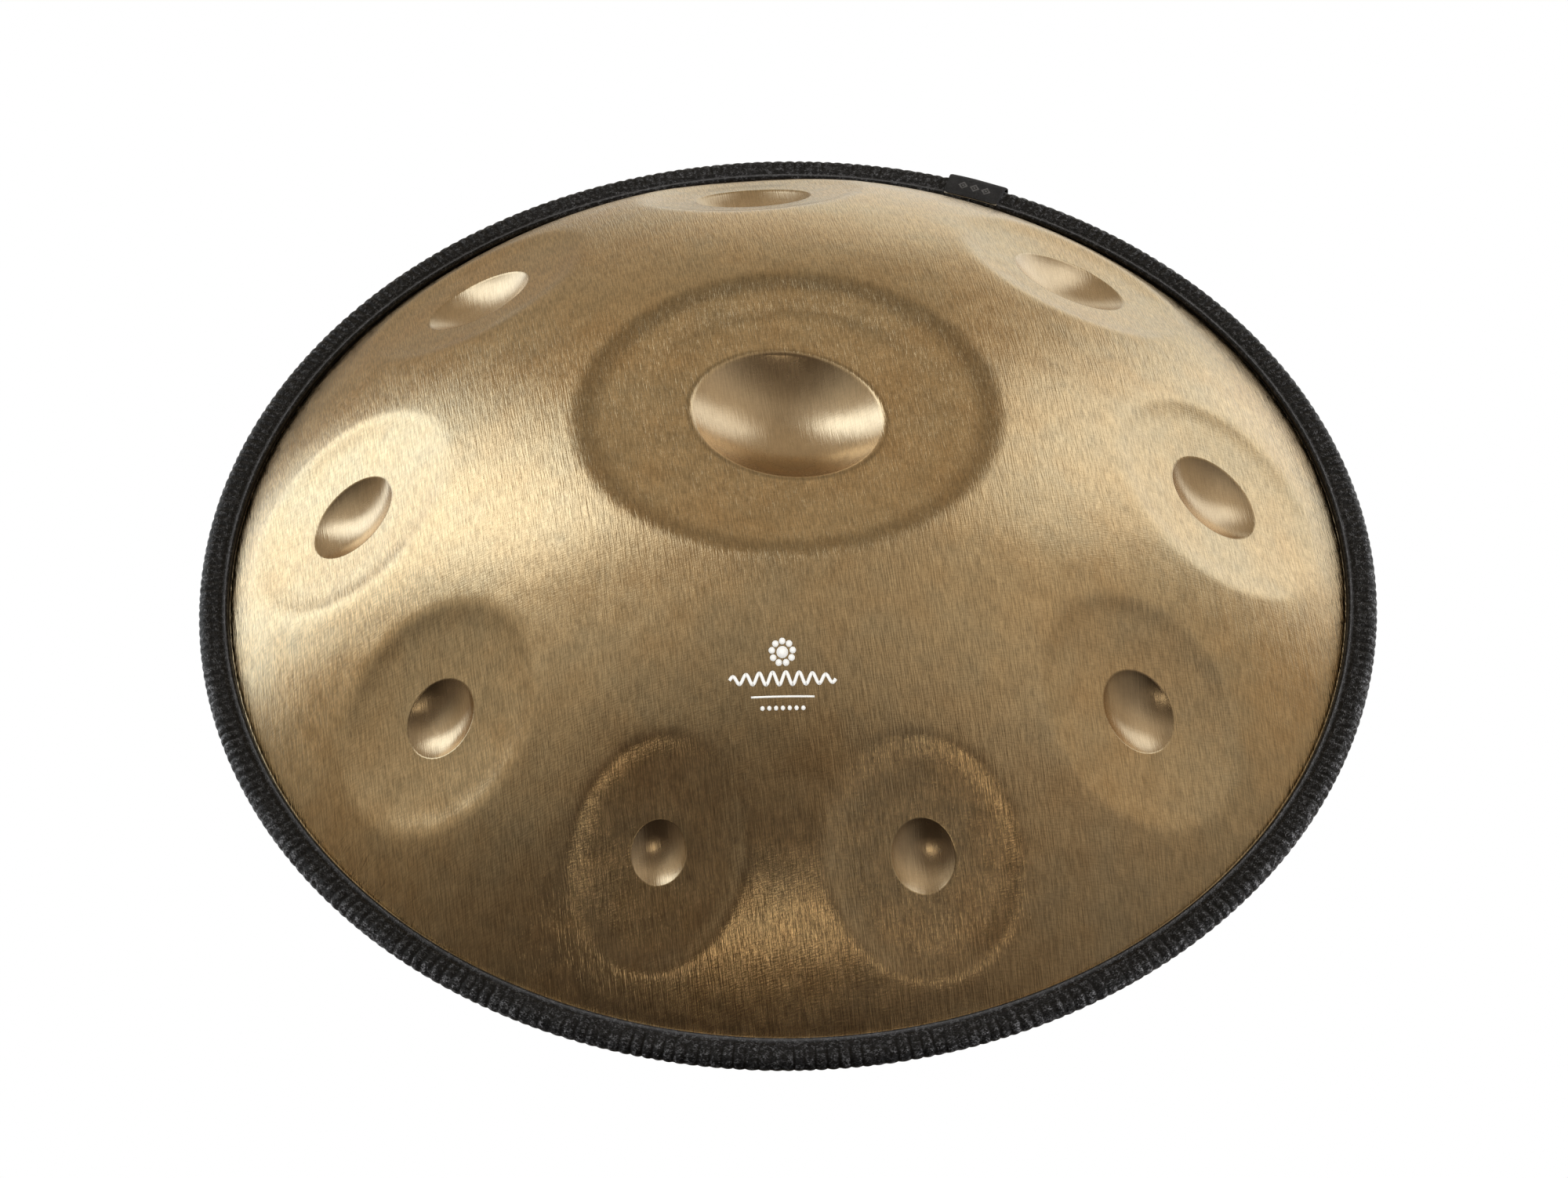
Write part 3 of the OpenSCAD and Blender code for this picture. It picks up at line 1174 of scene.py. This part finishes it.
@dataclass
class EdgeTrim:
    """The soft channel over the joined flanges, ribbed round its outer edge."""

    rim_z: float
    inner_r: float = 265.8
    outer_r: float = 280.0
    thickness: float = 9.2
    slot_half: float = 1.4
    slot_end: float = 277.0
    corner: float = 1.5
    ribs: int = 336
    rib_depth: float = 0.75
    butt_at: float = 69.0
    butt_gap: float = 0.12
    columns_per_rib: int = 6

    def profile(self) -> tuple[Array, Array]:
        """The closed outline and how strongly each of its points is ribbed.

        Returns:
            Points (radius, height) that start at the slot's lower inner edge
            and go round the outside, and a weight from 0 to 1 for each.
        """
        half, corner = self.thickness / 2, self.corner
        nose = self.outer_r - half
        lip = self.inner_r + corner
        slot = self.slot_half
        low = arc((lip, -half + corner), corner, 180, 270, 4)
        high = arc((lip, half - corner), corner, 90, 180, 5)
        flat = np.linspace(lip + 1.3, nose - 1.2, 8)
        under = np.stack([flat[::2], np.full(4, -half)], -1)
        dip = 0.55 * np.exp(-(((flat - lip - 1.6) / 0.8) ** 2))
        over = np.stack([flat, half - dip], -1)[::-1]
        nose_arc = arc((nose, 0), half, -90, 90, 16)
        mouth = self.inner_r + 0.3
        outside = np.concatenate([[[mouth, -slot]], low, under, nose_arc, over, high])
        upper = np.array([[mouth, slot], [self.inner_r + 3, slot], [self.slot_end, slot]])
        inside = np.concatenate([upper, (upper * [1, -1])[:0:-1]])
        weight = smooth_step(outside[:, 0], self.inner_r + 1.5, nose - 1.0)
        return np.concatenate([outside, inside]), np.concatenate([weight, np.zeros(len(inside))])

    def build(self) -> Thing:
        """Carries the outline round the rim.

        Each rib is a rounded swelling: the outline shrinks between the ribs
        by rib_depth * weight * (1 - |cos|^0.7) of half the rib's phase, more
        in some places than in others.

        Returns:
            The trim, with surface coordinates in metres round and across it.
        """
        outline, weight = self.profile()
        gap = radians(self.butt_gap) / 2
        start = radians(self.butt_at) + gap
        count = self.ribs * self.columns_per_rib + 1
        turn = np.linspace(0, 2 * pi - 2 * gap, count)
        phase = turn * self.ribs / 2 + 0.35 * np.sin(turn * 23) + 0.22 * np.sin(turn * 57 + 1)
        groove = 1 - np.abs(np.cos(phase)) ** 0.7
        uneven = 0.8 + 0.2 * np.sin(turn * 31 + 0.6) * np.sin(turn * 12)
        shrink = self.rib_depth * weight[:, None] * (groove * uneven)[None]
        nose = self.outer_r - self.thickness / 2
        around = np.clip(outline[:, :1] - nose, 0, None)
        height = outline[:, 1:]
        size = np.maximum(np.hypot(around, height), 1e-6)
        radius = outline[:, :1] - shrink * around / size
        level = height - shrink * height / size
        points = turned(radius, self.rim_z + level, start + turn)
        run = run_along(outline)[:, None]
        uv = np.stack(np.broadcast_arrays(turn[None] * nose * MM, run * MM), -1)
        work = Patchwork()
        rings = work.add(points, uv)
        work.grid(np.concatenate([rings, rings[:1]]))
        work.face(*[rings[k, :1] for k in range(len(outline))][::-1])
        work.face(*[rings[k, -1:] for k in range(len(outline))])
        trim = work.build("rim_trim_skin")
        # mask for the painted highlight along the inner bead
        over = outline[:, 1:] > self.thickness / 4
        bead = np.exp(-(((outline[:, :1] - self.inner_r - 1.9) / 0.45) ** 2)) * over
        # valley also sets the painted shade in the rib valleys
        write_values(trim, valley=shrink / self.rib_depth, bead=bead + 0 * turn)
        return trim


@dataclass
class TapeLabel:
    """A short woven tape folded round the trim."""

    rim_z: float
    at: float = 69.0
    width: float = 30.0
    tape: float = 0.9
    gap: float = 4.8
    nose_r: float = 277.0
    end_r: float = 266.4
    corner: float = 2.6

    @property
    def fold(self) -> float:
        """Length of the tape's middle line: two arms and a half circle."""
        return 2 * (self.nose_r - self.end_r) + pi * (self.gap + self.tape / 2)

    def build(self) -> Thing:
        """Sweeps the fold's line across the width, with a thin closed wall.

        Returns:
            The label, with surface coordinates across and along the fold.
        """
        radius = self.gap + self.tape / 2
        arm = np.linspace(0, 1, 15)[:-1, None]
        upper = np.concatenate([self.end_r * (1 - arm) + self.nose_r * arm, radius + 0 * arm], 1)
        bend = arc((self.nose_r, 0), radius, 90, -90, 24)
        line = np.concatenate([upper, bend, (upper * [1, -1])[::-1]])
        run = run_along(line)
        direction = np.gradient(line, axis=0)
        direction /= np.linalg.norm(direction, axis=1, keepdims=True)
        normal = np.stack([-direction[:, 1], direction[:, 0]], -1)
        across = np.sin(np.linspace(-1, 1, 41) * pi / 2) * self.width / 2
        edge = np.minimum(run, run[-1] - run)
        missing = np.clip(self.corner - edge, 0, None)
        narrow = self.corner - np.sqrt(np.clip(self.corner**2 - missing**2, 0, None))
        side = across[None] * (1 - 2 * narrow[:, None] / self.width)
        near_edge = smooth_step(np.abs(across), self.width / 2 - 0.9, self.width / 2)
        wave = 0.18 * np.sin(across / 4.1 + 0.5)[None] * np.sin(run / 5.3)[:, None]
        half = self.tape / 2 * (1 - 0.55 * near_edge)
        end_round = smooth_step(edge, 0.0, 0.7)[:, None] * 0.5 + 0.5
        work = Patchwork()
        layers = []
        for sign in (1, -1):
            lift = sign * half[None] * end_round + wave
            r = line[:, :1] + normal[:, :1] * lift
            z = line[:, 1:] + normal[:, 1:] * lift
            points = turned(r, self.rim_z + z, radians(self.at) + side / self.nose_r)
            uv = np.stack([side * MM, np.broadcast_to(run[:, None], side.shape) * MM], -1)
            layers.append(work.add(points, uv))
        top, bottom = layers
        work.grid(top, flip=True)
        work.grid(bottom)
        wall = [np.concatenate([n[0, :-1], n[:-1, -1], n[-1, :0:-1], n[:0:-1, 0]]) for n in layers]
        work.grid(np.stack(wall), closed=True, flip=True)
        return work.build("label_tag_skin")


@dataclass
class Emblem:
    """A small white print on the bowl: a ring of dots over a row of waves."""

    shell: UpperShell
    middle: tuple = (-2.7, -141.0)
    thick: float = 0.06
    petals: int = 9
    flower_at: float = 11.0
    flower_r: float = 4.7
    half_wave: float = 23.5
    waves: int = 8
    wave_height: float = 2.6
    rule_at: float = -7.4
    row_at: float = -12.0

    def build(self) -> Thing:
        """Lays thin closed shapes on the shell.

        Returns:
            The print.
        """
        work = Patchwork()
        for turn in np.radians(np.arange(self.petals) * 360 / self.petals + 90):
            x, y = self.flower_r * cos(turn), self.flower_r * sin(turn)
            self._dot(work, x, self.flower_at + y, 1.45)
        self._dot(work, 0.0, self.flower_at, 2.6)
        x = np.linspace(-self.half_wave, self.half_wave, 240)
        swell = 0.45 + 0.55 * np.cos(x / self.half_wave * pi / 2) ** 0.7
        wave = np.sin(x / self.half_wave * self.waves * pi)
        self._stroke(work, x, self.wave_height * wave * swell, 0.72)
        self._stroke(work, np.linspace(-14, 14, 20), np.full(20, self.rule_at), 0.4)
        for x in np.arange(-9.0, 10.0, 3.0):
            self._dot(work, x, self.row_at, 0.95)
        return work.build("emblem_print")

    def _layers(self, work: Patchwork, x: Array, y: Array) -> tuple[Array, Array]:
        """The same shape on top of the print and just inside the steel."""
        x, y = x + self.middle[0], y + self.middle[1]
        return (
            work.add(self.shell.surface(x, y, -self.thick)),
            work.add(self.shell.surface(x, y, self.thick)),
        )

    def _dot(self, work: Patchwork, x: float, y: float, radius: float) -> None:
        """A round dot.

        Args:
            work: The mesh so far.
            x: First coordinate.
            y: Second coordinate.
            radius: Radius of the dot.
        """
        turn = np.linspace(0, 2 * pi, 20, endpoint=False)
        top, low = self._layers(work, x + radius * np.cos(turn), y + radius * np.sin(turn))
        work.face(*[top[k:k + 1] for k in range(len(top))])
        work.face(*[low[k:k + 1] for k in range(len(low))][::-1])
        work.grid(np.stack([top, low]), closed=True, flip=True)

    def _stroke(self, work: Patchwork, x: Array, y: Array, half: float) -> None:
        """A line of even width along the given points.

        Args:
            work: The mesh so far.
            x: First coordinates.
            y: Second coordinates.
            half: Half the width of the line.
        """
        dx, dy = np.gradient(x), np.gradient(y)
        size = np.hypot(dx, dy)
        nx, ny = -dy / size * half, dx / size * half
        top, low = self._layers(work, np.stack([x + nx, x - nx]), np.stack([y + ny, y - ny]))
        work.grid(top, flip=True)
        work.grid(low)
        wall = [np.concatenate([n[0], n[1][::-1]]) for n in (top, low)]
        work.grid(np.stack(wall), closed=True)


# Studio


@dataclass(frozen=True)
class Softbox:
    """A soft patch of light far away, in a range of directions; a patch with
    negative colour is a black flag."""

    turn: float
    half_turn: float
    low: float
    high: float
    colour: tuple
    soft_turn: float = 8.0
    soft_high: float = 10.0


SOFTBOXES = (
    Softbox(143, 11, -75, 60, (1.06, 1.23, 1.38), 8, 12),
    Softbox(166, 34, 30, 82, (0.14, 0.135, 0.12), 24, 16),
    Softbox(45, 11, -75, 48, (0.64, 0.71, 0.77), 9, 14),
    Softbox(8, 36, 30, 84, (0.15, 0.14, 0.12), 24, 14),
    Softbox(76, 17, -80, 0, (0.46, 0.50, 0.50), 10, 13),
    Softbox(-92, 8, 34, 43, (1.50, 1.28, 0.92), 4, 3),
    Softbox(-22, 30, -10, 55, (0.10, 0.092, 0.08), 28, 25),
    Softbox(176, 26, 10, 60, (0.07, 0.07, 0.06), 20, 20),
    Softbox(-88, 40, -90, 22, (-0.062, -0.049, -0.036), 18, 6),
)


@dataclass
class Studio:
    """Pale floor, soft light from all round, and the camera."""

    rim_z: float
    elevation: float = 50.02
    distance: float = 2242.8
    roll: float = -0.70
    pan: float = 0.0441
    tilt: float = -0.1049
    lens: float = 108.0
    sensor: float = 36.0
    trim_fills: tuple = (
        ("trim_top", 0.3, 80, 25, 0),
        ("trim_left", 14.0, 30, 85, -90),
        ("trim_right", 18.0, 30, 85, 90),
    )
    print_fills: tuple = (("print_top", 2.7, 80, 25, 0),)
    dim_top: tuple = (0.245, 0.203, 0.152)
    dim_front: tuple = (0.090, 0.070, 0.051)
    dim_back: tuple = (0.330, 0.268, 0.190)

    def build(self) -> None:
        """Makes the camera, the light and the floor."""
        self._camera()
        self._light()
        self._floor()
        view = bpy.context.scene.view_settings
        view.view_transform = "Standard"
        view.look = "None"

    def _camera(self) -> None:
        """Places the camera on its sight line, panned, tilted and rolled."""
        rise = radians(self.elevation)
        spot = self.distance * Vector((0, -cos(rise), sin(rise)))
        ahead = -spot.normalized()
        right = ahead.cross(Vector((0, 0, 1))).normalized()
        up = right.cross(ahead)
        pan = Matrix.Rotation(radians(self.pan), 3, up)
        ahead, right = pan @ ahead, pan @ right
        tilt = Matrix.Rotation(radians(self.tilt), 3, right)
        ahead, up = tilt @ ahead, tilt @ up
        roll = radians(self.roll)
        side = right * cos(roll) + up * sin(roll)
        top = up * cos(roll) - right * sin(roll)
        turn = Matrix((side, top, -ahead)).transposed().to_4x4()
        place = Matrix.Translation((spot + Vector((0, 0, self.rim_z))) * MM)
        lens = bpy.data.cameras.new("camera")
        lens.sensor_width, lens.lens = self.sensor, self.lens
        lens.clip_start, lens.clip_end = 0.05, 100.0
        camera = bpy.data.objects.new("camera", lens)
        camera.matrix_world = place @ turn
        bpy.context.scene.collection.objects.link(camera)
        bpy.context.scene.camera = camera

    def _light(self) -> None:
        """Lights the scene from every direction.

        A dim warm room that fades from front to back and to the top, with the
        softboxes added; a softbox is the product of a smooth range of turns
        and a smooth range of heights.
        """
        world = bpy.data.worlds.new("studio_light")
        bpy.context.scene.world = world
        world.use_nodes = True
        world.node_tree.nodes.clear()
        w = Wiring(world.node_tree)
        place = w.node("ShaderNodeTexCoord").outputs["Generated"]
        x, y, z = w.parts(place)
        high = w.times(w.math("ARCSINE", z), 180 / pi)
        flat = w.math("MAXIMUM", w.level_radius(x, y), 1e-4)
        total = w.mix(w.ramp(y, -0.5, 0.5), self.dim_front, self.dim_back)
        total = w.mix(w.ramp(high, 52, 88), total, self.dim_top)
        for box in SOFTBOXES:
            turn = radians(box.turn)
            along = w.plus(w.times(x, cos(turn)), w.times(y, sin(turn)))
            ends = (box.half_turn + box.soft_turn, box.half_turn - box.soft_turn)
            outside, inside = (cos(radians(min(180, max(0, end)))) for end in ends)
            share = w.times(
                w.ramp(w.over(along, flat), outside, inside),
                w.ramp(high, box.low - box.soft_high, box.low + box.soft_high),
                w.ramp(high, box.high + box.soft_high, box.high - box.soft_high),
            )
            glow = w.vector("SCALE", box.colour, Scale=share)
            total = w.vector("ADD", total, i1=glow)
        lit = w.node("ShaderNodeBackground", Color=total, Strength=1.0)
        plain = w.node("ShaderNodeBackground", Color=(1.0, 1.0, 1.0), Strength=1.0)
        seen = w.node("ShaderNodeLightPath").outputs["Is Camera Ray"]
        both = w.node("ShaderNodeMixShader", Fac=seen, i1=lit.outputs[0], i2=plain.outputs[0])
        w.node("ShaderNodeOutputWorld", Surface=both.outputs[0])

    def fill(self, fills: tuple, pieces: list[Thing]) -> None:
        """Very soft suns that light the matt part of a few pieces only.

        Args:
            fills: Name, strength, width, lean and turn of each light.
            pieces: The pieces that they light.
        """
        lit = bpy.data.collections.new(fills[0][0] + "_parts")
        for piece in pieces:
            lit.objects.link(piece)
        for name, energy, width, lean, turn in fills:
            sun = bpy.data.lights.new(name, "SUN")
            sun.energy, sun.angle = energy, radians(width)
            lamp = bpy.data.objects.new(name, sun)
            lamp.rotation_euler = (radians(lean), 0, radians(turn))
            lamp.visible_glossy = False
            lamp.light_linking.receiver_collection = lit
            bpy.context.scene.collection.objects.link(lamp)

    def _floor(self) -> None:
        """A wide white floor that glows evenly, so that it stays plain."""
        work = Patchwork()
        side = np.array([-40000.0, 40000.0])
        x, y = np.meshgrid(side, side)
        work.grid(work.add(np.stack([x, y, 0 * x - 0.5], -1)))
        floor = work.build("studio_floor")
        material, w, _ = new_material("floor_white")
        w.tree.nodes.clear()
        glow = w.node("ShaderNodeEmission", Color=(1.0, 1.0, 1.0), Strength=1.0)
        w.node("ShaderNodeOutputMaterial", Surface=glow.outputs[0])
        floor.data.materials.append(material)
        floor.visible_glossy = floor.visible_diffuse = floor.visible_shadow = False


def fit(piece: Thing, material: Material, node: str = "") -> None:
    """Dresses a piece and ties it to the drum.

    Args:
        piece: The new piece.
        material: Its finish.
        node: The part that it stands for, if any.
    """
    piece.data.materials.clear()
    piece.data.materials.append(material)
    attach(piece, "root")
    if node:
        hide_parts(node)
    LOG.info("%s: %d faces", piece.name, len(piece.data.polygons))


def redress(node: Thing, material: Material) -> None:
    """Gives a part that stays as it is a better finish."""
    for held in node.material_slots:
        held.material = material
    if not node.material_slots:
        node.data.materials.append(material)


def main(frame: dict) -> None:
    """Builds every piece around the frame.

    Args:
        frame: What the frame's loading returned.
    """
    logging.basicConfig(level=logging.INFO, format="%(message)s")
    low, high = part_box("rim_trim")
    rim_z = (low.z + high.z) / 2 / MM
    studio = Studio(rim_z)
    studio.build()
    groups = Groups()
    steel = GoldSteel().make(groups)
    shell = UpperShell(rim_z)
    fit(shell.build(), steel, "upper_shell")
    fit(LowerShell(rim_z).build(), steel, "lower_shell")
    trim = EdgeTrim(rim_z).build()
    trim.visible_glossy = False
    fit(trim, TrimVinyl().make(groups), "rim_trim")
    label = TapeLabel(rim_z)
    tag = label.build()
    fit(tag, TagCloth().make(groups), "label_tag")
    mark = Emblem(shell).build()
    ink = PlainFinish("print_white", (0.95, 0.95, 0.93), 0.6, spread=0.03)
    fit(mark, ink.make(groups))
    studio.fill(studio.trim_fills, [trim, tag])
    studio.fill(studio.print_fills, [mark])
    glue = PlainFinish("bond_adhesive", (0.12, 0.11, 0.10), 0.55)
    core = PlainFinish("core_steel", (0.60, 0.60, 0.60), 0.38, metallic=1.0, patch=0.003)
    film = PlainFinish("tag_film", (0.8, 0.8, 0.78), 0.45, patch=0.002, spread=0.08)
    for name, finish in (("bond_ring", glue), ("trim_core", core), ("tag_adhesive", film)):
        redress(frame["nodes"][name], finish.make(groups))


if __name__ == "__main__":
    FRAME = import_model()
    main(FRAME)
